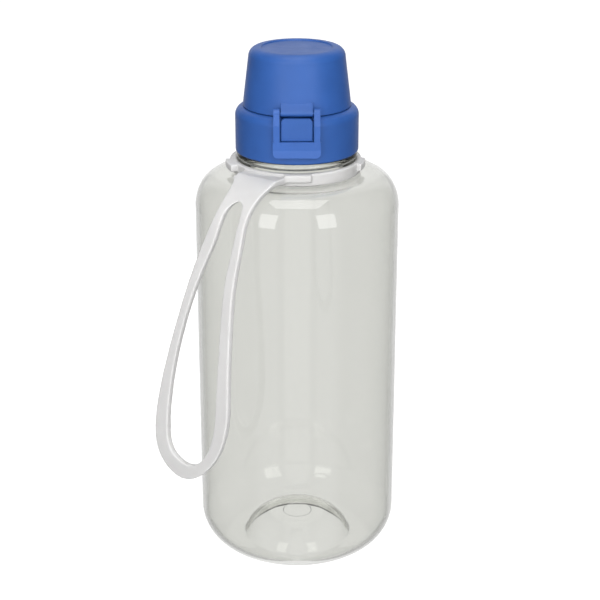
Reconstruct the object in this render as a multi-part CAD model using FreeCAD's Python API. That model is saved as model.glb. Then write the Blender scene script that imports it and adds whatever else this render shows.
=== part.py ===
"""Clear drinking bottle with a screw collar, a flip-up protective cap and a moulded carry strap.

Millimetres, +Z up, front of the bottle towards -Y.  The origin is the centre of the foot ring,
on the plane the bottle stands on.  Every separate moulding is written to its own STEP file.
"""
import FreeCAD, Part
import math
import os

V = FreeCAD.Vector
AXIS_Z = V(0, 0, 1)
AXIS_X = V(1, 0, 0)
ORIGIN = V(0, 0, 0)

# ---------------------------------------------------------------- driving dimensions
body_r = 36.0                      # outside radius of the bottle
overall_h = 188.0                  # floor to the top of the closed cap
wall = 1.3                         # bottle wall

# bottle: foot, shoulder and neck
base_fillet = 14.3                 # round between the side and the foot
foot_ring_r = 20.6                 # inner edge of the ring that the bottle stands on
foot_round_r = 2.0                 # round between the foot ring and the push-up
push_slope = 64.0                  # steepest part of the push-up in degrees
crown_r = 10.4                     # round between that and the flat middle
flat_r = 8.5                       # flat middle of the push-up
gate_r = 5.4                       # moulding button on it
gate_step = 0.2
shoulder_z = 132.0                 # where the straight side ends
shoulder_big_r = 14.4
shoulder_big_turn = 30.0           # degrees turned by the large round
shoulder_small_r = 9.5
shoulder_small_turn = 85.0         # degrees turned when the small round ends
groove_r = 20.5                    # waist in which the strap ring turns
bead_r = 21.2                      # flange above the strap ring
bead_z0 = 149.5
bead_z1 = 151.65
neck_r = 18.4
mouth_r = 16.4
rim_z = 162.6

# screw thread between neck and collar: two starts
thread_lead = 6.0
thread_starts = 2
thread_turns = 1.1
neck_thread_r = 19.5
collar_thread_r = 18.9
neck_thread_z = 153.4
ridge_root = 1.6                   # ridge width at the wall
ridge_crest = 0.9                  # ridge width at its tip

# screw collar
collar_r = 21.5
collar_bore_r = 19.9
collar_z0 = 151.95
collar_z1 = 167.6
collar_top_fillet = 3.1
collar_foot_fillet = 0.5
deck_z = 165.3                     # underside of the deck that closes the collar
deck_hole_r = 9.5
coaming_r0 = 15.4                  # raised ring that centres the cap
coaming_r1 = 16.5
coaming_z = 168.7

# catch block on the front of the collar
block_half_w = 5.25
block_front = 22.5
block_z0 = 160.6
block_z1 = 168.1
block_corner = 1.3

# flip cap
cap_z0 = 167.9
cap_r0 = 18.8                      # at the lower rim
cap_r1 = 16.35                     # at the top, before the rounded edge
cap_edge = 3.3
cap_wall = 1.8
cap_roof = 2.2
cap_dish_r = 12.3
cap_dish_depth = 0.45
cap_dish_slope = 0.35

# latch: pivots on the cap, closes over the catch block
latch_y = -20.4
latch_z = 169.5
latch_barrel_r = 1.7
latch_half_w = 8.1
latch_window_half_w = 5.75
latch_back = 22.7                  # inner face of the plate
latch_front = 23.9                 # outer face of the plate
latch_plate_z0 = 155.1
latch_plate_z1 = 160.45
latch_plate_corner = 1.6
latch_flare = 0.7                  # how far the lower edge stands out for a fingertip
latch_pin_r = 0.5
latch_hole_r = 0.56
latch_lug_r = 1.0                  # lug on the cap that holds the latch's pins

# rear hinge between collar and cap
hinge_y = 22.9
hinge_z = 167.8
hinge_barrel_r = 1.9
hinge_knuckle_half_w = 4.9
hinge_ear_x0 = 5.2
hinge_ear_x1 = 8.0
ear_foot_z = 159.5
hinge_pin_r = 0.8
hinge_hole_r = 0.85

# drinking spout under the cap
insert_flange_r = 17.6
insert_z0 = 164.0
insert_flange_t = 1.2
insert_tube_r = 6.6
insert_tube_bore_r = 5.0
insert_tube_z = 175.6
insert_boss_r = 9.3
insert_boss_z = 168.6
post_r = 1.5
post_head_r = 2.2
post_z = 177.3
ring_groove_z = 173.4
ring_groove_h = 1.3
ring_groove_r = 5.75
nozzle_bore_r = 6.72
nozzle_z0 = 168.9
nozzle_z1 = 177.6
nozzle_roof_z = 175.9
nozzle_hole_r = 2.35

# soft seals
gasket_r0 = 15.9
gasket_r1 = 19.3
gasket_z0 = 162.7
gasket_z1 = 163.9
vent_y = 12.4
vent_stem_r = 0.9
vent_hole_r = 1.0
vent_cap_r = 2.2
vent_bulb_r = 1.35
plug_r = 5.6
plug_z0 = 183.2
plug_stub_r = 2.4

# carry strap
strap_azimuth = -38.0              # degrees round from the front, towards the left
strap_t = 2.2
ring_r0 = 20.85
ring_r1 = 22.6
ring_z0 = 144.6
ring_z1 = 149.1
pad_z0 = 146.2
pad_z1 = 148.8
pad_half_angle = 11.4
pads_at = ((1.0, 23.6), (78.0, 24.0), (155.0, 23.6), (258.0, 23.6), (284.0, 25.1))  # azimuth, radius
hinge_s = 25.3                     # flexure line, measured out from the bottle axis
flexure_z = 146.9
plate_h0 = -5.7                    # plate edges, measured along the flexure line
plate_h1 = 11.3
tab_s = 23.85                      # outer end of the root tab on the ring
sheet_lean0 = 18.0                 # degrees below level at the flexure
sheet_run = 1.0
sheet_bend_r = 24.0
sheet_lean1 = 73.0
sheet_flow_r = 303.0
sheet_tail_lean = 92.0
outline_y = -80.0                  # plane outside the strap in which its outline is drawn
outline_reach = 60.0               # how far the outline is carried inwards

# strap edges as (along the flexure line, height) points that they pass through
strap_outside = (
    (-5.7, 146.9), (-3.9, 145.8), (-3.1, 142.0), (-3.5, 138.0), (-7.4, 123.0), (-12.7, 101.0), (-18.2, 75.0),
    (-20.0, 60.0), (-18.0, 49.7), (-8.6, 43.2), (5.8, 51.5), (12.2, 66.0), (12.0, 84.0), (10.8, 100.0),
    (9.8, 118.0), (10.1, 130.0), (9.8, 140.0), (11.3, 146.6),
)
strap_inside = (
    (3.0, 141.7), (0.5, 139.6), (-0.6, 133.5), (-4.2, 120.0), (-9.4, 101.0), (-13.6, 75.0), (-14.3, 61.0),
    (-12.2, 52.4), (-4.1, 49.2), (4.3, 56.8), (7.3, 76.0), (6.6, 98.0), (6.0, 120.0), (6.7, 137.5), (5.4, 141.1),
)

SLACK = 1.0                        # overlap used when two bodies of one moulding are fused


# ---------------------------------------------------------------- helpers
def polar(centre, radius, degrees):
    """Point at an angle from +x about a centre in a two-number plane."""
    angle = math.radians(degrees)
    return (centre[0] + radius * math.cos(angle), centre[1] + radius * math.sin(angle))


def section(steps, to_point):
    """Closed face from steps: (x, y) is a straight run, ((mx, my), (x, y)) an arc."""
    edges = []
    here = steps[0]
    for step in steps[1:] + [steps[0]]:
        if isinstance(step[0], tuple):
            middle, there = step
            edges.append(Part.Arc(to_point(here), to_point(middle), to_point(there)).toShape())
        else:
            there = step
            if math.dist(here, there) > 1e-6:
                edges.append(Part.makeLine(to_point(here), to_point(there)))
        here = there
    return Part.Face(Part.Wire(edges))


def turned(steps):
    """Solid of revolution about Z from a closed (radius, height) section."""
    face = section(steps, lambda p: V(p[0], 0, p[1]))
    return face.revolve(ORIGIN, AXIS_Z, 360)


def tube(r0, r1, z0, z1):
    """Plain ring between two radii."""
    return turned([(r0, z0), (r1, z0), (r1, z1), (r0, z1)])


def side_prism(steps, x0, x1):
    """Prism along X from a closed (y, z) section."""
    face = section(steps, lambda p: V(x0, p[0], p[1]))
    return face.extrude(V(x1 - x0, 0, 0))


def front_prism(steps, y0, y1):
    """Prism along Y from a closed (x, z) section."""
    face = section(steps, lambda p: V(p[0], y0, p[1]))
    return face.extrude(V(0, y1 - y0, 0))


def cross_rod(radius, x0, x1, y, z):
    """Round bar along X."""
    return Part.makeCylinder(radius, x1 - x0, V(x0, y, z), AXIS_X)


def box(x0, x1, y0, y1, z0, z1):
    return Part.makeBox(x1 - x0, y1 - y0, z1 - z0, V(x0, y0, z0))


def fused(first, *others):
    """One clean solid from overlapping ones."""
    return first.fuse(list(others)).removeSplitter()


def helical_ridge(wall_r, tip_r, turns, start_z, start_degrees):
    """Thread ridge with a trapezoid section that climbs one lead per turn."""
    root = wall_r - math.copysign(0.3, tip_r - wall_r)
    corners = [
        V(root, 0, -ridge_root / 2),
        V(tip_r, 0, -ridge_crest / 2),
        V(tip_r, 0, ridge_crest / 2),
        V(root, 0, ridge_root / 2),
    ]
    profile = Part.makePolygon(corners + corners[:1])
    path = Part.Wire(Part.makeHelix(thread_lead, thread_lead * turns, wall_r).Edges)
    ridge = path.makePipeShell([profile], True, True)
    ridge.rotate(ORIGIN, AXIS_Z, start_degrees)
    ridge.translate(V(0, 0, start_z))
    return ridge


# ---------------------------------------------------------------- bottle
def bottle_outline(inset):
    """Side and shoulder from the foot to the neck, moved inwards by an inset."""
    foot = (body_r - base_fillet, base_fillet)
    big = (body_r - shoulder_big_r, shoulder_z)
    small = polar(big, shoulder_big_r - shoulder_small_r, shoulder_big_turn)
    half = shoulder_big_turn / 2
    late = (shoulder_big_turn + shoulder_small_turn) / 2
    foot_r = base_fillet - inset
    big_r = shoulder_big_r - inset
    small_r = shoulder_small_r - inset
    return [
        (foot[0], foot[1] - foot_r),
        (polar(foot, foot_r, -45), (foot[0] + foot_r, foot[1])),
        (big[0] + big_r, big[1]),
        (polar(big, big_r, half), polar(big, big_r, shoulder_big_turn)),
        (polar(small, small_r, late), polar(small, small_r, shoulder_small_turn)),
    ]


def push_up(inset):
    """Floor from its flat middle out to the foot ring, moved inwards by an inset."""
    slope = math.radians(push_slope)
    across = (foot_ring_r - flat_r) * math.sin(slope) - foot_round_r - crown_r
    crown = (flat_r, foot_round_r + across / math.cos(slope))
    foot = (foot_ring_r, foot_round_r)
    top_r = crown_r + inset
    foot_r = foot_round_r - inset
    return [
        polar(crown, top_r, 90),
        (polar(crown, top_r, 90 - push_slope / 2), polar(crown, top_r, 90 - push_slope)),
        polar(foot, foot_r, -90 - push_slope),
        (polar(foot, foot_r, -90 - push_slope / 2), polar(foot, foot_r, -90)),
    ]


def make_bottle():
    neck_foot_z = 144.1
    bead_mid = (bead_z0 + bead_z1) / 2
    floor = push_up(0)
    gate_z = floor[0][1] - gate_step
    outer = [(0, gate_z), (gate_r, gate_z), (gate_r, floor[0][1])] + floor + bottle_outline(0) + [
        (groove_r, neck_foot_z),
        (groove_r, bead_z0),
        ((bead_r, bead_mid), (groove_r, bead_z1)),
        (neck_r, bead_z1),
        (neck_r, rim_z - 0.5),
        (neck_r - 0.5, rim_z),
        (0, rim_z),
    ]
    throat_r = 2.6
    throat = (mouth_r + throat_r, neck_foot_z + 1.5)
    inside = push_up(wall)
    inner = [(0, inside[0][1])] + inside + bottle_outline(wall) + [
        (throat[0], throat[1] - throat_r),
        (polar(throat, throat_r, 225), (mouth_r, throat[1])),
        (mouth_r, rim_z + SLACK),
        (0, rim_z + SLACK),
    ]
    bottle = turned(outer).cut(turned(inner))
    ridges = [
        helical_ridge(neck_r, neck_thread_r, thread_turns, neck_thread_z, start * 360 / thread_starts)
        for start in range(thread_starts)
    ]
    return fused(bottle, *ridges)


# ---------------------------------------------------------------- collar
def hinge_ear(side):
    """Lug on the collar that holds one end of the rear hinge pin."""
    x0 = min(side * hinge_ear_x0, side * hinge_ear_x1)
    x1 = max(side * hinge_ear_x0, side * hinge_ear_x1)
    root_y = math.sqrt(collar_r ** 2 - hinge_ear_x0 ** 2) - 1.6
    centre = (hinge_y, hinge_z)
    return side_prism([
        (root_y, ear_foot_z),
        (root_y + 1.2, ear_foot_z),
        (hinge_y + hinge_barrel_r, hinge_z),
        (polar(centre, hinge_barrel_r, 60), polar(centre, hinge_barrel_r, 120)),
        (root_y, collar_z1 - 1.2),
    ], x0, x1)


def make_collar():
    top = collar_top_fillet
    foot = collar_foot_fillet
    shell = turned([
        (collar_bore_r, collar_z0),
        (collar_r - foot, collar_z0),
        (polar((collar_r - foot, collar_z0 + foot), foot, -45), (collar_r, collar_z0 + foot)),
        (collar_r, collar_z1 - top),
        (polar((collar_r - top, collar_z1 - top), top, 45), (collar_r - top, collar_z1)),
        (coaming_r1, collar_z1),
        (coaming_r1, coaming_z),
        (coaming_r0, coaming_z),
        (coaming_r0, collar_z1),
        (deck_hole_r, collar_z1),
        (deck_hole_r, deck_z),
        (collar_bore_r, deck_z),
    ])
    lower = block_half_w
    upper = block_z1 - block_corner
    block = front_prism([
        (-lower, block_z0),
        (lower, block_z0),
        (lower, upper),
        (polar((lower - block_corner, upper), block_corner, 45), (lower - block_corner, block_z1)),
        (block_corner - lower, block_z1),
        (polar((block_corner - lower, upper), block_corner, 135), (-lower, upper)),
    ], -block_front, -collar_r + SLACK)
    ears = [hinge_ear(side) for side in (-1, 1)]
    ridges = []
    shift = thread_lead / thread_starts / 2
    for start in range(thread_starts):
        ridges.append(helical_ridge(
            collar_bore_r, collar_thread_r, thread_turns, neck_thread_z + shift, start * 360 / thread_starts))
    collar = fused(shell, block, *ears, *ridges)
    pin_hole = cross_rod(hinge_hole_r, -hinge_ear_x1 - SLACK, hinge_ear_x1 + SLACK, hinge_y, hinge_z)
    vent_hole = Part.makeCylinder(vent_hole_r, 9, V(0, vent_y, deck_z - 4), AXIS_Z)
    return collar.cut([pin_hole, vent_hole])


def make_hinge_pin():
    head = cross_rod(hinge_pin_r, -hinge_ear_x1 - 0.2, hinge_ear_x1 + 0.2, hinge_y, hinge_z)
    return head.makeChamfer(0.2, [edge for edge in head.Edges if len(edge.Vertexes) == 1])


# ---------------------------------------------------------------- flip cap
def cap_radius(z):
    """Outside radius of the tapered cap wall."""
    return cap_r0 + (cap_r1 - cap_r0) * (z - cap_z0) / (overall_h - cap_z0)


def make_cap():
    edge_z = overall_h - cap_edge
    edge_r = cap_radius(edge_z)
    inside_roof = overall_h - cap_roof
    inner_edge = 1.6
    inner_top_r = cap_radius(inside_roof) - cap_wall
    shell = turned([
        (cap_r0 - cap_wall, cap_z0),
        (cap_r0, cap_z0),
        (edge_r, edge_z),
        (polar((edge_r - cap_edge, edge_z), cap_edge, 45), (edge_r - cap_edge, overall_h)),
        (cap_dish_r, overall_h),
        (cap_dish_r - cap_dish_slope, overall_h - cap_dish_depth),
        (0, overall_h - cap_dish_depth),
        (0, inside_roof),
        (inner_top_r - inner_edge, inside_roof),
        (polar((inner_top_r - inner_edge, inside_roof - inner_edge), inner_edge, 45),
         (inner_top_r, inside_roof - inner_edge)),
    ])
    plug_socket = tube(plug_stub_r + 0.1, plug_stub_r + 1.3, inside_roof - 1.0, inside_roof + SLACK)
    wall_y = cap_radius(latch_z) - 0.9
    lug_half_w = latch_window_half_w - 0.35
    lug_centre = (latch_y, latch_z)
    lug = side_prism([
        (-wall_y, cap_z0 + 0.2),
        (latch_y, latch_z - latch_lug_r),
        (polar(lug_centre, latch_lug_r, 195), polar(lug_centre, latch_lug_r, 120)),
        (-wall_y, latch_z + 3.0),
    ], -lug_half_w, lug_half_w)
    rear_y = cap_radius(hinge_z) - 0.9
    centre = (hinge_y, hinge_z)
    knuckle = side_prism([
        (rear_y, cap_z0),
        (hinge_y - hinge_barrel_r, hinge_z),
        (polar(centre, hinge_barrel_r, 270), polar(centre, hinge_barrel_r, 0)),
        (polar(centre, hinge_barrel_r, 50), polar(centre, hinge_barrel_r, 100)),
        (rear_y, hinge_z + 4.0),
    ], -hinge_knuckle_half_w, hinge_knuckle_half_w)
    cap = fused(shell, plug_socket, lug, knuckle)
    latch_hole = cross_rod(latch_hole_r, -lug_half_w - SLACK, lug_half_w + SLACK, latch_y, latch_z)
    pin_hole = cross_rod(hinge_hole_r, -hinge_ear_x1, hinge_ear_x1, hinge_y, hinge_z)
    return cap.cut([latch_hole, pin_hole])


def make_latch():
    plate_front = -latch_front
    plate_back = -latch_back
    arm_shape = [
        (latch_y + latch_barrel_r, latch_z),
        (polar((latch_y, latch_z), latch_barrel_r, 90), (latch_y - latch_barrel_r, latch_z)),
        (plate_front, latch_z - 3.5),
        (plate_front, latch_plate_z1 - 1.0),
        (plate_back, latch_plate_z1 - 1.0),
        (plate_back + 0.9, latch_z - 4.0),
        (latch_y + latch_barrel_r * 0.7, latch_z - latch_barrel_r),
    ]
    arms = []
    for side in (-1, 1):
        x0 = min(side * latch_window_half_w, side * (latch_half_w - 0.2))
        x1 = max(side * latch_window_half_w, side * (latch_half_w - 0.2))
        arms.append(side_prism(arm_shape, x0, x1))
        stub_tip = side * (latch_window_half_w - 2.6)
        stub_root = side * (latch_window_half_w + SLACK)
        arms.append(cross_rod(latch_pin_r, min(stub_tip, stub_root), max(stub_tip, stub_root), latch_y, latch_z))
    plate = side_prism([
        (plate_back, latch_plate_z1),
        (plate_front, latch_plate_z1),
        (plate_front - 0.1, latch_plate_z0 + 2.6),
        (plate_front - latch_flare, latch_plate_z0),
        (plate_back - 0.3, latch_plate_z0),
        (plate_back, latch_plate_z0 + 1.6),
    ], -latch_half_w, latch_half_w)
    corner = latch_plate_corner
    outline = front_prism([
        (-latch_half_w + corner, latch_plate_z0),
        (latch_half_w - corner, latch_plate_z0),
        (polar((latch_half_w - corner, latch_plate_z0 + corner), corner, -45),
         (latch_half_w, latch_plate_z0 + corner)),
        (latch_half_w, latch_plate_z1),
        (-latch_half_w, latch_plate_z1),
        (-latch_half_w, latch_plate_z0 + corner),
        (polar((corner - latch_half_w, latch_plate_z0 + corner), corner, 225),
         (corner - latch_half_w, latch_plate_z0)),
    ], plate_front - latch_flare - SLACK, plate_back + SLACK)
    return fused(plate.common(outline), *arms)


def make_cap_plug():
    roof = overall_h - cap_roof
    return turned([
        (0, plug_z0),
        (plug_r - 0.8, plug_z0),
        (plug_r, plug_z0 + 0.8),
        (plug_r, roof - 1.1),
        (plug_stub_r, roof - 1.1),
        (plug_stub_r, roof - 0.05),
        (0, roof - 0.05),
    ])


# ---------------------------------------------------------------- spout
def make_insert():
    body = turned([
        (insert_tube_bore_r, insert_z0),
        (insert_flange_r, insert_z0),
        (insert_flange_r, insert_z0 + insert_flange_t),
        (insert_boss_r, insert_z0 + insert_flange_t),
        (insert_boss_r, insert_boss_z),
        (insert_tube_r, insert_boss_z),
        (insert_tube_r, ring_groove_z),
        (ring_groove_r, ring_groove_z),
        (ring_groove_r, ring_groove_z + ring_groove_h),
        (insert_tube_r, ring_groove_z + ring_groove_h),
        (insert_tube_r, insert_tube_z - 0.3),
        (insert_tube_r - 0.3, insert_tube_z),
        (insert_tube_bore_r, insert_tube_z),
    ])
    post = turned([
        (0, insert_z0 + 1.0),
        (post_r, insert_z0 + 1.0),
        (post_r, post_z - 2.6),
        (post_head_r, post_z - 2.0),
        (post_head_r, post_z - 0.4),
        (post_head_r - 0.4, post_z),
        (0, post_z),
    ])
    spokes = []
    for number in range(3):
        spoke = box(post_r / 2, insert_tube_bore_r + 0.5, -0.6, 0.6, insert_z0, insert_z0 + 3.5)
        spoke.rotate(ORIGIN, AXIS_Z, 30 + number * 120)
        spokes.append(spoke)
    vent_hole = Part.makeCylinder(vent_hole_r, 9, V(0, vent_y, insert_z0 - 4), AXIS_Z)
    return fused(body, post, *spokes).cut(vent_hole)


def make_nozzle():
    lip = 0.9
    return turned([
        (nozzle_bore_r, nozzle_z0),
        (9.0, nozzle_z0),
        (9.0, nozzle_z0 + 1.3),
        (8.0, nozzle_z0 + 2.2),
        (7.9, nozzle_z0 + 4.2),
        ((8.75, nozzle_z0 + 5.35), (7.9, nozzle_z0 + 6.5)),
        (5.4, nozzle_z1 - 0.6),
        ((4.9, nozzle_z1 - 0.12), (4.3, nozzle_z1)),
        (nozzle_hole_r + 0.3, nozzle_z1),
        (nozzle_hole_r, nozzle_z1 - 0.3),
        (nozzle_hole_r, nozzle_roof_z),
        (nozzle_bore_r - lip, nozzle_roof_z),
        (nozzle_bore_r, nozzle_roof_z - 0.2),
    ])


def make_nozzle_ring():
    """O-ring that seals the sliding nozzle on its tube."""
    section_r = (nozzle_bore_r - 0.03 - ring_groove_r - 0.02) / 2
    middle = ring_groove_r + 0.02 + section_r
    return Part.makeTorus(middle, section_r, V(0, 0, ring_groove_z + ring_groove_h / 2))


def make_vent_valve():
    """Mushroom valve that lets air back in while drinking."""
    top = collar_z1 + 0.1
    low = insert_z0 - 0.1
    valve = turned([
        (0, low - 1.0),
        (vent_stem_r * 0.7, low - 1.0),
        (vent_bulb_r, low - 0.3),
        (vent_bulb_r, low),
        (vent_stem_r, low),
        (vent_stem_r, top),
        (vent_cap_r, top),
        (vent_cap_r, top + 0.3),
        (polar((vent_cap_r - 0.7, top + 0.3), 0.7, 45), (vent_cap_r - 0.7, top + 1.0)),
        (0, top + 1.0),
    ])
    valve.translate(V(0, vent_y, 0))
    return valve


def make_gasket():
    soft = 0.3
    return turned([
        (gasket_r0 + soft, gasket_z0),
        (gasket_r1 - soft, gasket_z0),
        (gasket_r1, gasket_z0 + soft),
        (gasket_r1, gasket_z1 - soft),
        (gasket_r1 - soft, gasket_z1),
        (gasket_r0 + soft, gasket_z1),
        (gasket_r0, gasket_z1 - soft),
        (gasket_r0, gasket_z0 + soft),
    ])


# ---------------------------------------------------------------- carry strap
def strap_placed(shape):
    """From the strap's own frame (outwards = -Y, along the flexure = X) to the bottle's."""
    turned_shape = shape.copy()
    turned_shape.rotate(ORIGIN, AXIS_Z, strap_azimuth)
    return turned_shape


def sheet_section(shift):
    """Strap surface in (out, up), moved along its own normal by a shift."""
    lean0 = math.radians(sheet_lean0)
    start = (hinge_s, flexure_z)
    bend_from = (start[0] + sheet_run * math.cos(lean0), start[1] - sheet_run * math.sin(lean0))
    bend_centre = polar(bend_from, sheet_bend_r, 270 - sheet_lean0)
    flow_centre = polar(bend_centre, sheet_flow_r - sheet_bend_r, 270 - sheet_lean1)
    normal = 90 - sheet_lean0
    return (
        polar(start, shift, normal),
        polar(bend_centre, sheet_bend_r + shift, 90 - sheet_lean0),
        polar(bend_centre, sheet_bend_r + shift, 90 - (sheet_lean0 + sheet_lean1) / 2),
        polar(bend_centre, sheet_bend_r + shift, 90 - sheet_lean1),
        polar(flow_centre, sheet_flow_r + shift, 90 - (sheet_lean1 + sheet_tail_lean) / 2),
        polar(flow_centre, sheet_flow_r + shift, 90 - sheet_tail_lean),
    )


def spline_through(points, closed):
    """Smooth edge through (along, height) points, in the plane where the strap's outline is drawn."""
    curve = Part.BSplineCurve()
    curve.interpolate(Points=[V(x, outline_y, z) for x, z in points], PeriodicFlag=closed)
    return curve.toShape()


def strap_band():
    """Thick block with the strap's outline: plate, two legs and the loop's lower end."""
    top = ring_z1 + 4
    first = V(strap_outside[0][0], outline_y, strap_outside[0][1])
    last = V(strap_outside[-1][0], outline_y, strap_outside[-1][1])
    left_top = V(first.x, outline_y, top)
    right_top = V(last.x, outline_y, top)
    outside = Part.Wire([
        spline_through(strap_outside, False),
        Part.makeLine(last, right_top),
        Part.makeLine(right_top, left_top),
        Part.makeLine(left_top, first),
    ])
    inside = Part.Wire([spline_through(strap_inside, True)])
    reach = V(0, outline_reach, 0)
    return Part.Face(outside).extrude(reach).cut(Part.Face(inside).extrude(reach))


def make_strap_loop():
    top = sheet_section(strap_t / 2)
    under = sheet_section(-strap_t / 2)
    outline = [
        top[0],
        top[1],
        (top[2], top[3]),
        (top[4], top[5]),
        under[5],
        (under[4], under[3]),
        (under[2], under[1]),
        under[0],
    ]
    mirrored = []
    for step in outline:
        if isinstance(step[0], tuple):
            mirrored.append(tuple((-point[0], point[1]) for point in step))
        else:
            mirrored.append((-step[0], step[1]))
    sheet = side_prism(mirrored, -body_r, body_r)
    barrel = cross_rod(strap_t / 2, plate_h0, plate_h1, -hinge_s, flexure_z)
    return strap_placed(fused(sheet.common(strap_band()), barrel))


def make_strap_ring():
    ring = tube(ring_r0, ring_r1, ring_z0, ring_z1)
    pads = []
    for azimuth, pad_r in pads_at:
        pad = tube(ring_r1 - 0.8, pad_r, pad_z0, pad_z1)
        wedge = Part.makeCylinder(pad_r + 5, 20, V(0, 0, pad_z0 - 10), AXIS_Z, 2 * pad_half_angle)
        wedge.rotate(ORIGIN, AXIS_Z, azimuth - 90 - pad_half_angle)
        pads.append(pad.common(wedge))
    tab = box(plate_h0, plate_h1, -tab_s, -(ring_r0 + 0.3) * 0.9, flexure_z - strap_t / 2, flexure_z + strap_t / 2)
    tab = strap_placed(tab).cut(Part.makeCylinder(ring_r0 + 0.4, 30, V(0, 0, 130), AXIS_Z))
    return fused(ring, tab, *pads)


# ---------------------------------------------------------------- output
NODES = {
    "bottle": make_bottle,
    "neck_gasket": make_gasket,
    "screw_collar": make_collar,
    "hinge_pin": make_hinge_pin,
    "spout_insert": make_insert,
    "spout_nozzle": make_nozzle,
    "nozzle_o_ring": make_nozzle_ring,
    "vent_valve": make_vent_valve,
    "flip_cap": make_cap,
    "cap_plug": make_cap_plug,
    "latch_clip": make_latch,
    "strap_ring": make_strap_ring,
    "strap_loop": make_strap_loop,
}


def main():
    os.makedirs("parts", exist_ok=True)
    for name, make in NODES.items():
        shape = make()
        if len(shape.Solids) != 1 or not shape.isValid():
            raise ValueError(name + " is not one valid solid: " + str(len(shape.Solids)))
        shape.Solids[0].exportStep("parts/" + name + ".step")
        box_now = shape.BoundBox
        print(name, round(shape.Volume), "x", round(box_now.XMin, 1), round(box_now.XMax, 1),
              "y", round(box_now.YMin, 1), round(box_now.YMax, 1),
              "z", round(box_now.ZMin, 1), round(box_now.ZMax, 1))


main()
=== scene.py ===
"""Looks for the clear drinking bottle with a blue flip cap and a milky carry strap.

Metres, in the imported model's frame: +Z up, front towards -Y, origin under the foot ring.
"""
import math

import bmesh
import bpy
from mathutils import Matrix, Vector


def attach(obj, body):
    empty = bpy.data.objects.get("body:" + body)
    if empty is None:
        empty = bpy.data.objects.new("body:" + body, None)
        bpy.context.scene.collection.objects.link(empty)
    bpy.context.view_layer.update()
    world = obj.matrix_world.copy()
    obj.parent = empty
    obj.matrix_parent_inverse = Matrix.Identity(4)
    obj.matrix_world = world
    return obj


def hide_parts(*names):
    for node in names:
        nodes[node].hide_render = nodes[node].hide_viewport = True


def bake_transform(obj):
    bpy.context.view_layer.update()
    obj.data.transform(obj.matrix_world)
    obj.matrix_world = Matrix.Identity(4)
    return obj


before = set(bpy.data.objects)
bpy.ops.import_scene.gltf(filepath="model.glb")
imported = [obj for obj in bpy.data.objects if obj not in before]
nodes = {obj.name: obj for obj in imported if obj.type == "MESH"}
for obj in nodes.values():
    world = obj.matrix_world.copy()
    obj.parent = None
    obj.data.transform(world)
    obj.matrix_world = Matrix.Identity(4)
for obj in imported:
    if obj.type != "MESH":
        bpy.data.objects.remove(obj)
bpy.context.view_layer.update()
MM = 0.001

# ---------------------------------------------------------------- camera, light and colour values
CAMERA_PLACE = (0.00105, -0.53467, 0.29907)
CAMERA_TILT = 69.12                 # degrees up from looking straight down
CAMERA_LENS = 94.6
SOFTBOX_TURN = 33.5                 # degrees to each side of the front
SOFTBOX_LIFT = 15.0                 # degrees above the middle of the bottle
SOFTBOX_DISTANCE = 1.1
SOFTBOX_SIZE = (0.40, 0.72)
SOFTBOX_WATTS = 2.0
FRONT_FILL = ((0, -1.3, 0.55), 0.9, 12.5)   # place, size and watts of a wide lamp near the camera
TOP_FILL = ((0, -0.25, 1.2), 0.8, 6.5)      # and of one overhead
FLOOR_HALF = 3.0                    # metres from its middle to its edge
FLOOR_DROP = 0.00005                # how far it lies below the foot ring
FLOOR_GREY = 0.45
FLOOR_GLOW = 0.80                   # light the floor gives to the camera
FLOOR_DIM = 0.12                    # and to everything else
# What gloss and diffuse surfaces get from the room: (direction, brightness), where the direction runs from
# 0 at the front through 0.5 at the sides to 1 beyond the bottle.
ROOM = ((0.0, 0.75), (0.10, 0.70), (0.22, 0.08), (0.82, 0.08), (0.965, 0.95))
# What the clear walls pass on, from 0 at the sides to 1 straight ahead or behind, with a dark flag between.
ROOM_THROUGH_WALLS = ((0.0, 0.80), (0.90, 0.70), (0.925, 0.53), (0.952, 0.52), (0.975, 0.91))
CLEAR_BOUNCES = 24                  # light is passed on many times between the clear walls

BLUE = (0.0235, 0.088, 0.315)
# The latch's blue is a lighter copy of BLUE. This is painted light: it stands in for the light falling on
# the latch's front.
BLUE_LATCH_PAINTED_LIGHTER = (0.025, 0.091, 0.330)
MILKY = (0.560, 0.556, 0.553)
WHITE = (0.800, 0.800, 0.790)
SILICONE = (0.740, 0.745, 0.735)
STEEL = (0.560, 0.565, 0.570)
CLEAR_TINT = (0.897, 0.899, 0.877)
HAZE_TINT = (0.70, 0.71, 0.66)
HAZE_DENSITY = 60.0
SHADOW_SHARE = 0.97                 # share of a lamp's light that one surface of the clear wall lets through

# ---------------------------------------------------------------- bottle, in millimetres as on its drawing
BODY_R = 36.0
WALL = 1.3
BASE_FILLET = 14.3
FOOT_RING_R = 20.6                  # inner edge of the ring that the bottle stands on
FOOT_ROUND_R = 2.0
PUSH_SLOPE = 64.0                   # steepest part of the push-up in degrees
CROWN_R = 10.4                      # round between that and the flat middle
FLAT_R = 8.5
GATE_R = 5.4                        # moulding button
GATE_STEP = 0.2
SHOULDER_Z = 132.0
SHOULDER_BIG_R = 14.4
SHOULDER_BIG_TURN = 30.0
SHOULDER_SMALL_R = 9.5
SHOULDER_TURN_END = 85.0
NECK_FOOT_Z = 144.1
GROOVE_R = 20.5
BEAD_R = 21.2
BEAD_Z0 = 149.5
BEAD_Z1 = 151.65
NECK_R = 18.4
MOUTH_R = 16.4
THROAT_R = 2.6                      # round between the shoulder and the mouth, inside
THROAT_Z = 145.6
RIM_Z = 162.6
RIM_ROUND = 0.5
RIM_ROUND_INSIDE = 0.3
THREAD_LEAD = 6.0
THREAD_STARTS = 2
THREAD_TURNS = 1.1
THREAD_Z = 153.4
THREAD_DEPTH = 1.1
THREAD_ROOT = 1.6
THREAD_CREST = 0.9
THREAD_FADE = 0.04
BOTTLE_SEGMENTS = 240
SHARP_FROM = math.radians(38)       # angle from which an edge of the bottle is drawn sharp

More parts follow.
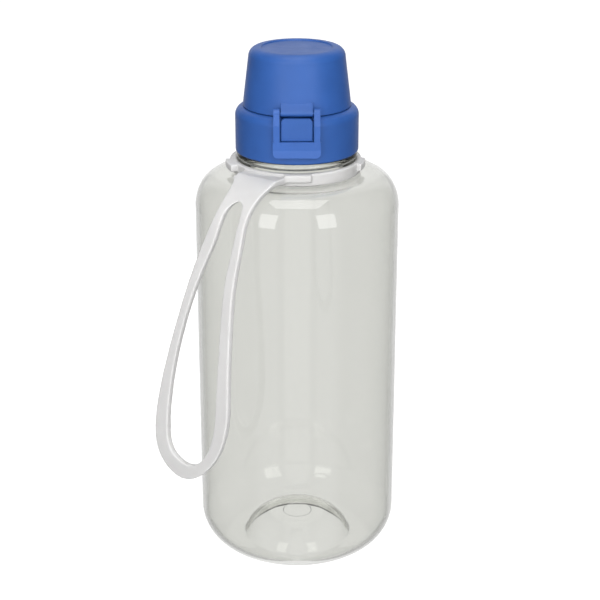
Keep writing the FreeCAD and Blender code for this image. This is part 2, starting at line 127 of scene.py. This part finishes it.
# ---------------------------------------------------------------- strap, where its hinge line lies
STRAP_TURN = math.radians(-38.0)
FLEXURE_OUT = 25.3 * MM
FLEXURE_Z = 146.9 * MM
FLEXURE_ALONG = (-5.7 * MM, 11.3 * MM)
FLEXURE_THICK = 2.0 * MM
BRIDGE_OUT = (22.9 * MM, 25.6 * MM)
STRAP_VOXEL = 0.26 * MM


# ---------------------------------------------------------------- node helpers
class Paint:
    """One node material with a Principled shader, and short ways to feed its sockets."""

    def __init__(self, name):
        self.material = bpy.data.materials.new(name)
        self.material.use_nodes = True
        self.tree = self.material.node_tree
        self.tree.nodes.clear()
        self.output = self.add("ShaderNodeOutputMaterial")
        self.shader = self.add("ShaderNodeBsdfPrincipled")
        self.link(self.shader.outputs["BSDF"], self.output.inputs["Surface"])
        self.place = self.add("ShaderNodeTexCoord").outputs["Object"]

    def add(self, kind, **settings):
        node = self.tree.nodes.new(kind)
        for name, value in settings.items():
            setattr(node, name, value)
        return node

    def link(self, source, target):
        self.tree.links.new(source, target)

    def fix(self, **values):
        """Constants, set on the shader's own sockets; a socket's spaces are written as _."""
        for name, value in values.items():
            self.shader.inputs[name.replace("_", " ")].default_value = value

    def noise(self, size, detail=2.0, stretch=(1, 1, 1)):
        """Grey noise whose features are about this large, in metres."""
        mapping = self.add("ShaderNodeMapping")
        mapping.inputs["Scale"].default_value = stretch
        texture = self.add("ShaderNodeTexNoise")
        texture.inputs["Scale"].default_value = 1.0 / size
        texture.inputs["Detail"].default_value = detail
        self.link(self.place, mapping.inputs["Vector"])
        self.link(mapping.outputs["Vector"], texture.inputs["Vector"])
        return texture.outputs["Fac"]

    def ramp(self, source, low, high, at=(0.3, 0.7)):
        """Number from a grey value, between low and high."""
        node = self.add("ShaderNodeMapRange")
        node.inputs["From Min"].default_value = at[0]
        node.inputs["From Max"].default_value = at[1]
        node.inputs["To Min"].default_value = low
        node.inputs["To Max"].default_value = high
        self.link(source, node.inputs["Value"])
        return node.outputs["Result"]

    def blend(self, source, low, high):
        """Colour from a grey value, between two colours."""
        node = self.add("ShaderNodeMix", data_type="RGBA")
        node.inputs["A"].default_value = (*low, 1)
        node.inputs["B"].default_value = (*high, 1)
        self.link(source, node.inputs["Factor"])
        return node.outputs["Result"]

    def colour(self, source):
        self.link(source, self.shader.inputs["Base Color"])

    def roughness(self, source):
        self.link(source, self.shader.inputs["Roughness"])

    def bump(self, source, height, edge=0.0):
        """Bump of a height in metres; a positive edge also rounds sharp corners by that radius."""
        node = self.add("ShaderNodeBump")
        node.inputs["Strength"].default_value = 1.0
        node.inputs["Distance"].default_value = height
        self.link(source, node.inputs["Height"])
        if edge > 0:
            bevel = self.add("ShaderNodeBevel", samples=6)
            bevel.inputs["Radius"].default_value = edge
            self.link(bevel.outputs["Normal"], node.inputs["Normal"])
        self.link(node.outputs["Normal"], self.shader.inputs["Normal"])


def shade(colour, factor):
    """A colour made lighter or darker by a factor."""
    return tuple(channel * factor for channel in colour)


# ---------------------------------------------------------------- materials
def satin_plastic(name, colour, grain=0.35 * MM, edge=0.3 * MM, gloss=0.46):
    """Moulded plastic with a fine spark-eroded grain and slightly uneven gloss."""
    paint = Paint(name)
    cloud = paint.noise(9 * MM, 3.0)
    paint.colour(paint.blend(paint.ramp(cloud, 0, 1), shade(colour, 0.95), shade(colour, 1.05)))
    fine = paint.noise(grain, 3.0)
    paint.roughness(paint.ramp(paint.noise(4 * MM, 4.0), gloss - 0.04, gloss + 0.05))
    paint.bump(fine, 0.012 * MM, edge)
    paint.fix(Specular_IOR_Level=0.4, IOR=1.49)
    return paint.material


def milky_plastic(name, colour):
    """Soft translucent polyethylene: light bleeds through it."""
    paint = Paint(name)
    flow = paint.noise(14 * MM, 2.0, (1, 1, 0.35))
    paint.colour(paint.blend(paint.ramp(flow, 0, 1), shade(colour, 0.965), shade(colour, 1.03)))
    paint.roughness(paint.ramp(paint.noise(3 * MM, 3.0), 0.36, 0.46))
    paint.bump(paint.noise(0.5 * MM, 2.0), 0.010 * MM)
    paint.fix(Subsurface_Weight=0.55, Subsurface_Radius=(1.0, 1.0, 1.0), Subsurface_Scale=1.6 * MM, IOR=1.5)
    return paint.material


def hard_white(name):
    """Food-grade white polypropylene."""
    paint = Paint(name)
    cloud = paint.noise(6 * MM, 2.0)
    paint.colour(paint.blend(paint.ramp(cloud, 0, 1), shade(WHITE, 0.97), shade(WHITE, 1.02)))
    paint.roughness(paint.ramp(paint.noise(2 * MM, 3.0), 0.30, 0.40))
    paint.bump(paint.noise(0.4 * MM, 2.0), 0.006 * MM, 0.25 * MM)
    paint.fix(Subsurface_Weight=0.15, Subsurface_Radius=(1.0, 1.0, 0.9), Subsurface_Scale=0.8 * MM)
    return paint.material


def silicone_rubber(name):
    """Matt, slightly translucent seal rubber with a dusty bloom."""
    paint = Paint(name)
    cloud = paint.noise(3 * MM, 4.0)
    paint.colour(paint.blend(paint.ramp(cloud, 0, 1), shade(SILICONE, 0.93), shade(SILICONE, 1.03)))
    paint.roughness(paint.ramp(paint.noise(1 * MM, 3.0), 0.55, 0.68))
    paint.bump(paint.noise(0.25 * MM, 2.0), 0.008 * MM, 0.15 * MM)
    paint.fix(Subsurface_Weight=0.6, Subsurface_Radius=(1.0, 1.0, 1.0), Subsurface_Scale=1.0 * MM)
    return paint.material


def drawn_steel(name):
    """Stainless wire with fine drawing lines along X."""
    paint = Paint(name)
    lines = paint.noise(0.12 * MM, 3.0, (0.04, 1, 1))
    paint.colour(paint.blend(paint.ramp(lines, 0, 1), shade(STEEL, 0.85), shade(STEEL, 1.05)))
    paint.roughness(paint.ramp(lines, 0.20, 0.34))
    paint.bump(lines, 0.003 * MM)
    paint.fix(Metallic=1.0)
    return paint.material


def clear_plastic(name):
    """Blow-moulded clear copolyester with a faint warm grey and a softly wavy wall."""
    paint = Paint(name)
    waves = paint.noise(16 * MM, 0.0, (1, 1, 0.5))
    paint.colour(paint.blend(paint.ramp(waves, 0, 1), shade(CLEAR_TINT, 0.995), shade(CLEAR_TINT, 1.005)))
    paint.roughness(paint.ramp(waves, 0.0, 0.004))
    paint.bump(waves, 0.02 * MM)
    paint.fix(Transmission_Weight=1.0, IOR=1.5)
    haze = paint.add("ShaderNodeVolumeAbsorption")
    haze.inputs["Color"].default_value = (*HAZE_TINT, 1)
    haze.inputs["Density"].default_value = HAZE_DENSITY
    paint.link(haze.outputs["Volume"], paint.output.inputs["Volume"])
    # Lamps shine through the wall, so that the bottle's shadow is a light one.
    lets_through = paint.add("ShaderNodeBsdfTransparent")
    lets_through.inputs["Color"].default_value = (*shade(CLEAR_TINT, SHADOW_SHARE), 1)
    chooser = paint.add("ShaderNodeMixShader")
    path = paint.add("ShaderNodeLightPath")
    paint.link(path.outputs["Is Shadow Ray"], chooser.inputs["Fac"])
    paint.link(paint.shader.outputs["BSDF"], chooser.inputs[1])
    paint.link(lets_through.outputs["BSDF"], chooser.inputs[2])
    paint.link(chooser.outputs["Shader"], paint.output.inputs["Surface"])
    return paint.material


def dress(material, *names):
    """Gives CAD nodes a material, in every slot they have."""
    for name in names:
        mesh = nodes[name].data
        if not mesh.materials:
            mesh.materials.append(material)
        for index in range(len(mesh.materials)):
            mesh.materials[index] = material


# ---------------------------------------------------------------- bottle
def arc(centre, radius, from_degrees, to_degrees, steps):
    """Points of an arc in (radius, height), both ends included."""
    points = []
    for step in range(steps + 1):
        angle = math.radians(from_degrees + (to_degrees - from_degrees) * step / steps)
        points.append((centre[0] + radius * math.cos(angle), centre[1] + radius * math.sin(angle)))
    return points


def arc_through(start, middle, end, steps):
    """Points of the arc through three points, the first left out."""
    (ax, ay), (bx, by), (cx, cy) = start, middle, end
    d = 2 * (ax * (by - cy) + bx * (cy - ay) + cx * (ay - by))
    a2, b2, c2 = ax * ax + ay * ay, bx * bx + by * by, cx * cx + cy * cy
    centre = ((a2 * (by - cy) + b2 * (cy - ay) + c2 * (ay - by)) / d,
              (a2 * (cx - bx) + b2 * (ax - cx) + c2 * (bx - ax)) / d)
    angles = [math.atan2(p[1] - centre[1], p[0] - centre[0]) for p in (start, end)]
    turn = (angles[1] - angles[0] + math.pi) % (2 * math.pi) - math.pi
    radius = math.dist(start, centre)
    return [
        (centre[0] + radius * math.cos(angles[0] + turn * k / steps),
         centre[1] + radius * math.sin(angles[0] + turn * k / steps))
        for k in range(1, steps + 1)
    ]


def straight(start, end, step):
    """Points of a straight run about a step apart, the first left out."""
    count = max(1, round(math.dist(start, end) / step))
    return [
        (start[0] + (end[0] - start[0]) * k / count, start[1] + (end[1] - start[1]) * k / count)
        for k in range(1, count + 1)
    ]


def push_up_points(inset):
    """Floor from its flat middle out to the foot ring, moved inwards by an inset, in millimetres."""
    slope = math.radians(PUSH_SLOPE)
    across = (FOOT_RING_R - FLAT_R) * math.sin(slope) - FOOT_ROUND_R - CROWN_R
    crown = (FLAT_R, FOOT_ROUND_R + across / math.cos(slope))
    crown_arc = arc(crown, CROWN_R + inset, 90, 90 - PUSH_SLOPE, 20)
    foot_arc = arc((FOOT_RING_R, FOOT_ROUND_R), FOOT_ROUND_R - inset, -90 - PUSH_SLOPE, -90, 12)
    return crown_arc + straight(crown_arc[-1], foot_arc[0], 1.0) + foot_arc[1:]


def side_points(inset):
    """Foot, side and shoulder, moved inwards by an inset, in millimetres."""
    foot = (BODY_R - BASE_FILLET, BASE_FILLET)
    big = (BODY_R - SHOULDER_BIG_R, SHOULDER_Z)
    lean = math.radians(SHOULDER_BIG_TURN)
    gap = SHOULDER_BIG_R - SHOULDER_SMALL_R
    small = (big[0] + gap * math.cos(lean), big[1] + gap * math.sin(lean))
    points = arc(foot, BASE_FILLET - inset, -90, 0, 32)
    points += straight(points[-1], (BODY_R - inset, SHOULDER_Z), 6.0)
    points += arc(big, SHOULDER_BIG_R - inset, 0, SHOULDER_BIG_TURN, 14)[1:]
    points += arc(small, SHOULDER_SMALL_R - inset, SHOULDER_BIG_TURN, SHOULDER_TURN_END, 20)[1:]
    return points


def thread_height(z, angle):
    """How far the two-start thread stands out of the neck at a height and an angle."""
    best = 0.0
    for start in range(THREAD_STARTS):
        along = (angle / math.tau - start / THREAD_STARTS) % 1.0
        for turn in (along, along + 1.0):
            if turn <= THREAD_TURNS:
                fade = min(1.0, turn / THREAD_FADE, (THREAD_TURNS - turn) / THREAD_FADE)
                off = abs(z - THREAD_Z - THREAD_LEAD * turn)
                slope = (THREAD_ROOT / 2 - off) / ((THREAD_ROOT - THREAD_CREST) / 2)
                best = max(best, THREAD_DEPTH * fade * min(1.0, max(0.0, slope)))
    return best


def bottle_profile():
    """Outside from the axis under the floor up to the rim, then the inside back down, in millimetres."""
    floor = push_up_points(0)
    gate_z = floor[0][1] - GATE_STEP
    outer = [(0.0, gate_z), (GATE_R - 0.2, gate_z), (GATE_R, floor[0][1])] + floor + side_points(0)
    outer += straight(outer[-1], (GROOVE_R, NECK_FOOT_Z), 1.0)
    outer += straight((GROOVE_R, NECK_FOOT_Z), (GROOVE_R, BEAD_Z0), 1.0)
    outer += arc_through(
        (GROOVE_R, BEAD_Z0), (BEAD_R, (BEAD_Z0 + BEAD_Z1) / 2), (GROOVE_R, BEAD_Z1), 12)
    outer += straight(outer[-1], (NECK_R, BEAD_Z1), 0.7)
    outer += straight(outer[-1], (NECK_R, RIM_Z - RIM_ROUND), 0.16)
    outer += arc((NECK_R - RIM_ROUND, RIM_Z - RIM_ROUND), RIM_ROUND, 20, 90, 4)
    throat = (MOUTH_R + THROAT_R, THROAT_Z)
    inner = push_up_points(WALL)
    inner = [(0.0, inner[0][1])] + inner + side_points(WALL)
    inner += straight(inner[-1], (throat[0], throat[1] - THROAT_R), 1.0)
    inner += arc(throat, THROAT_R, 270, 180, 10)[1:]
    inner += straight(inner[-1], (MOUTH_R, RIM_Z - RIM_ROUND_INSIDE), 1.0)
    inner += arc((MOUTH_R + RIM_ROUND_INSIDE, RIM_Z - RIM_ROUND_INSIDE), RIM_ROUND_INSIDE, 170, 90, 3)
    return outer + inner[::-1]


def make_bottle_skin(material):
    """The bottle turned finely enough for clean refraction, with its thread raised from the neck."""
    profile = bottle_profile()
    shape = bmesh.new()
    rings = []
    for radius, z in profile:
        if radius < 1e-6:
            rings.append([shape.verts.new((0, 0, z * MM))])
            continue
        ring = []
        threaded = abs(radius - NECK_R) < 1e-3
        for step in range(BOTTLE_SEGMENTS):
            angle = math.tau * step / BOTTLE_SEGMENTS
            r = radius + (thread_height(z, angle) if threaded else 0.0)
            ring.append(shape.verts.new((r * math.cos(angle) * MM, r * math.sin(angle) * MM, z * MM)))
        rings.append(ring)
    for low, high in zip(rings, rings[1:]):
        for step in range(BOTTLE_SEGMENTS):
            after = (step + 1) % BOTTLE_SEGMENTS
            if len(low) == 1 and len(high) > 1:
                shape.faces.new((low[0], high[after], high[step]))
            elif len(high) == 1:
                shape.faces.new((low[step], low[after], high[0]))
            else:
                shape.faces.new((low[step], low[after], high[after], high[step]))
    bmesh.ops.recalc_face_normals(shape, faces=shape.faces)
    mesh = bpy.data.meshes.new("bottle_skin")
    shape.to_mesh(mesh)
    shape.free()
    mesh.materials.append(material)
    for face in mesh.polygons:
        face.use_smooth = True
    mesh.set_sharp_from_angle(angle=SHARP_FROM)
    bottle = bpy.data.objects.new("bottle_skin", mesh)
    bpy.context.scene.collection.objects.link(bottle)
    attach(bottle, "bottle_body")
    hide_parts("bottle")
    return bottle


# ---------------------------------------------------------------- strap
def flexure_bridge():
    """Thin web that joins the ring's tab to the strap's plate."""
    mesh = bpy.data.meshes.new("bridge")
    shape = bmesh.new()
    bmesh.ops.create_cube(shape, size=1.0)
    size = Vector((
        FLEXURE_ALONG[1] - FLEXURE_ALONG[0],
        BRIDGE_OUT[1] - BRIDGE_OUT[0],
        FLEXURE_THICK,
    ))
    middle = Vector((sum(FLEXURE_ALONG) / 2, -sum(BRIDGE_OUT) / 2, FLEXURE_Z))
    place = Matrix.Rotation(STRAP_TURN, 4, "Z") @ Matrix.Translation(middle) @ Matrix.Diagonal((*size, 1))
    bmesh.ops.transform(shape, matrix=place, verts=shape.verts)
    shape.to_mesh(mesh)
    shape.free()
    return mesh


def make_strap(material):
    """Ring, tab, plate and loop as the one moulding they are, with soft edges all round."""
    shape = bmesh.new()
    for source in (nodes["strap_ring"].data, nodes["strap_loop"].data, flexure_bridge()):
        shape.from_mesh(source)
    bmesh.ops.remove_doubles(shape, verts=shape.verts, dist=0.001 * MM)
    mesh = bpy.data.meshes.new("carry_strap")
    shape.to_mesh(mesh)
    shape.free()
    strap = bpy.data.objects.new("carry_strap", mesh)
    bpy.context.scene.collection.objects.link(strap)
    skin = strap.modifiers.new("skin", "REMESH")
    skin.mode = "VOXEL"
    skin.voxel_size = STRAP_VOXEL
    soft = strap.modifiers.new("soft", "SMOOTH")
    soft.factor = 0.5
    soft.iterations = 16
    bpy.context.view_layer.update()
    graph = bpy.context.evaluated_depsgraph_get()
    final = bpy.data.meshes.new_from_object(strap.evaluated_get(graph), depsgraph=graph)
    strap.modifiers.clear()
    strap.data = final
    final.name = "carry_strap"
    final.materials.clear()
    final.materials.append(material)
    for face in final.polygons:
        face.use_smooth = True
    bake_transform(strap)
    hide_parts("strap_ring", "strap_loop")
    return strap


# ---------------------------------------------------------------- studio
def make_world():
    """White to the camera, dim at the sides to gloss, with levels of their own for the clear walls."""
    world = bpy.data.worlds.new("studio")
    bpy.context.scene.world = world
    world.use_nodes = True
    tree = world.node_tree
    tree.nodes.clear()
    new = tree.nodes.new
    link = tree.links.new
    direction = new("ShaderNodeTexCoord")
    flat = new("ShaderNodeVectorMath")
    flat.operation = "MULTIPLY"
    flat.inputs[1].default_value = (1, 1, 0)
    facing = new("ShaderNodeVectorMath")
    facing.operation = "NORMALIZE"
    split = new("ShaderNodeSeparateXYZ")
    link(direction.outputs["Generated"], flat.inputs[0])
    link(flat.outputs["Vector"], facing.inputs[0])
    link(facing.outputs["Vector"], split.inputs["Vector"])
    ahead = new("ShaderNodeMath")
    ahead.operation = "MULTIPLY_ADD"
    ahead.inputs[1].default_value = 0.5
    ahead.inputs[2].default_value = 0.5
    either_way = new("ShaderNodeMath")
    either_way.operation = "ABSOLUTE"
    rooms = []
    for stops, measure in ((ROOM, ahead), (ROOM_THROUGH_WALLS, either_way)):
        link(split.outputs["Y"], measure.inputs[0])
        room = new("ShaderNodeValToRGB")
        room.color_ramp.interpolation = "EASE"
        while len(room.color_ramp.elements) < len(stops):
            room.color_ramp.elements.new(0.5)
        for element, (place, level) in zip(room.color_ramp.elements, stops):
            element.position = place
            element.color = (level, level, level, 1)
        link(measure.outputs["Value"], room.inputs["Fac"])
        rooms.append(room.outputs["Color"])
    path = new("ShaderNodeLightPath")
    through = new("ShaderNodeMix")
    link(path.outputs["Is Transmission Ray"], through.inputs["Factor"])
    link(rooms[0], through.inputs["A"])
    link(rooms[1], through.inputs["B"])
    seen = new("ShaderNodeMix")
    seen.inputs["B"].default_value = 1.0
    link(path.outputs["Is Camera Ray"], seen.inputs["Factor"])
    link(through.outputs["Result"], seen.inputs["A"])
    sky = new("ShaderNodeBackground")
    sky.inputs["Color"].default_value = (1, 1, 1, 1)
    link(seen.outputs["Result"], sky.inputs["Strength"])
    output = new("ShaderNodeOutputWorld")
    link(sky.outputs["Background"], output.inputs["Surface"])


def make_floor():
    """Pale floor that fills the view; gloss and clear walls show the room in its place."""
    mesh = bpy.data.meshes.new("floor")
    corners = [
        (x * FLOOR_HALF, y * FLOOR_HALF, -FLOOR_DROP)
        for x, y in ((-1, -1), (1, -1), (1, 1), (-1, 1))
    ]
    mesh.from_pydata(corners, [], [(0, 1, 2, 3)])
    floor = bpy.data.objects.new("floor", mesh)
    bpy.context.scene.collection.objects.link(floor)
    paint = Paint("pale_floor")
    grey = (FLOOR_GREY,) * 3
    paint.colour(paint.blend(paint.noise(0.05, 2.0), shade(grey, 0.99), shade(grey, 1.01)))
    paint.fix(Roughness=0.9, Emission_Color=(1, 1, 1, 1))
    path = paint.add("ShaderNodeLightPath")
    paint.link(paint.ramp(path.outputs["Is Camera Ray"], FLOOR_DIM, FLOOR_GLOW, (0, 1)),
               paint.shader.inputs["Emission Strength"])
    mesh.materials.append(paint.material)
    floor.visible_transmission = False
    floor.visible_glossy = False


def make_lamp(name, place, aim, size, watts):
    """Area lamp at a place, pointed at another."""
    data = bpy.data.lights.new(name, "AREA")
    data.shape = "RECTANGLE"
    data.size, data.size_y = size
    data.energy = watts
    lamp = bpy.data.objects.new(name, data)
    bpy.context.scene.collection.objects.link(lamp)
    lamp.location = place
    lamp.rotation_mode = "QUATERNION"
    lamp.rotation_quaternion = (Vector(place) - Vector(aim)).to_track_quat("Z", "Y")
    lamp.visible_camera = False
    return lamp


def make_softbox(side):
    """Tall softbox to one side of the camera, aimed at the middle of the bottle."""
    turn = math.radians(SOFTBOX_TURN) * side
    lift = math.radians(SOFTBOX_LIFT)
    target = Vector((0, 0, 0.10))
    away = Vector((math.sin(turn) * math.cos(lift), -math.cos(turn) * math.cos(lift), math.sin(lift)))
    make_lamp("softbox", target + away * SOFTBOX_DISTANCE, target, SOFTBOX_SIZE, SOFTBOX_WATTS)


def make_fill(name, place, size, watts, mirrored):
    """Large soft lamp that no clear wall shows; glossy surfaces mirror it only where asked."""
    lamp = make_lamp(name, place, (0, 0, 0.12), (size, size), watts)
    lamp.visible_transmission = False
    lamp.visible_glossy = mirrored


def make_camera():
    data = bpy.data.cameras.new("camera")
    data.lens = CAMERA_LENS
    data.sensor_width = 36.0
    data.clip_start = 0.01
    camera = bpy.data.objects.new("camera", data)
    bpy.context.scene.collection.objects.link(camera)
    camera.location = CAMERA_PLACE
    camera.rotation_euler = (math.radians(CAMERA_TILT), 0, 0)
    bpy.context.scene.camera = camera


# ---------------------------------------------------------------- put together
make_camera()
make_world()
make_floor()
for side in (-1, 1):
    make_softbox(side)
make_fill("front_fill", *FRONT_FILL, mirrored=False)
make_fill("top_fill", *TOP_FILL, mirrored=True)
bpy.context.scene.cycles.max_bounces = CLEAR_BOUNCES
bpy.context.scene.cycles.transmission_bounces = CLEAR_BOUNCES
bpy.context.scene.view_settings.view_transform = "Standard"

make_bottle_skin(clear_plastic("clear_copolyester"))
dress(satin_plastic("blue_satin", BLUE), "screw_collar", "flip_cap")
# The latch gets the lighter copy of the blue. This is light painted on its front, not a colour of its own.
dress(satin_plastic("blue_satin_latch_painted_lighter", BLUE_LATCH_PAINTED_LIGHTER, edge=0.25 * MM), "latch_clip")
dress(hard_white("white_polypropylene"), "spout_insert")
dress(milky_plastic("soft_nozzle_white", WHITE), "spout_nozzle")
dress(silicone_rubber("seal_silicone"), "neck_gasket", "nozzle_o_ring", "vent_valve", "cap_plug")
dress(drawn_steel("pin_steel"), "hinge_pin")
make_strap(milky_plastic("milky_strap", MILKY))
